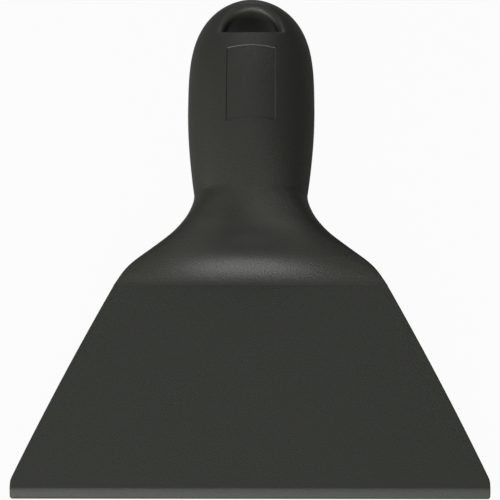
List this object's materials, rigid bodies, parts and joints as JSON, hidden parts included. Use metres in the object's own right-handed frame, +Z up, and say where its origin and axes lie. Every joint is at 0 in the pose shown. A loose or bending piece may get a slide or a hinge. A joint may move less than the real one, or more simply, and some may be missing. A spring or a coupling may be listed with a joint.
{
  "type": "pan scraper",
  "caption": "Short-handled plastic pan scraper: a stiff bevelled trapezoid blade with an overmoulded rounded grip that ends in a hang eye.",
  "frame": {"origin": "middle of the scraping edge, where it touches the table that the scraper lies on", "axes": "+X across the scraper, +Y from the scraping edge towards the end of the handle, +Z up from the table, the bevelled face up"},
  "size_m": [0.14, 0.162, 0.0251],
  "materials": {
    "blade_nylon": "fine satin moulded",
    "handle_nylon": "satin moulded"
  },
  "bodies": {
    "root": {"blade": "blade_nylon", "handle": "handle_nylon"}
  },
  "joints": []
}
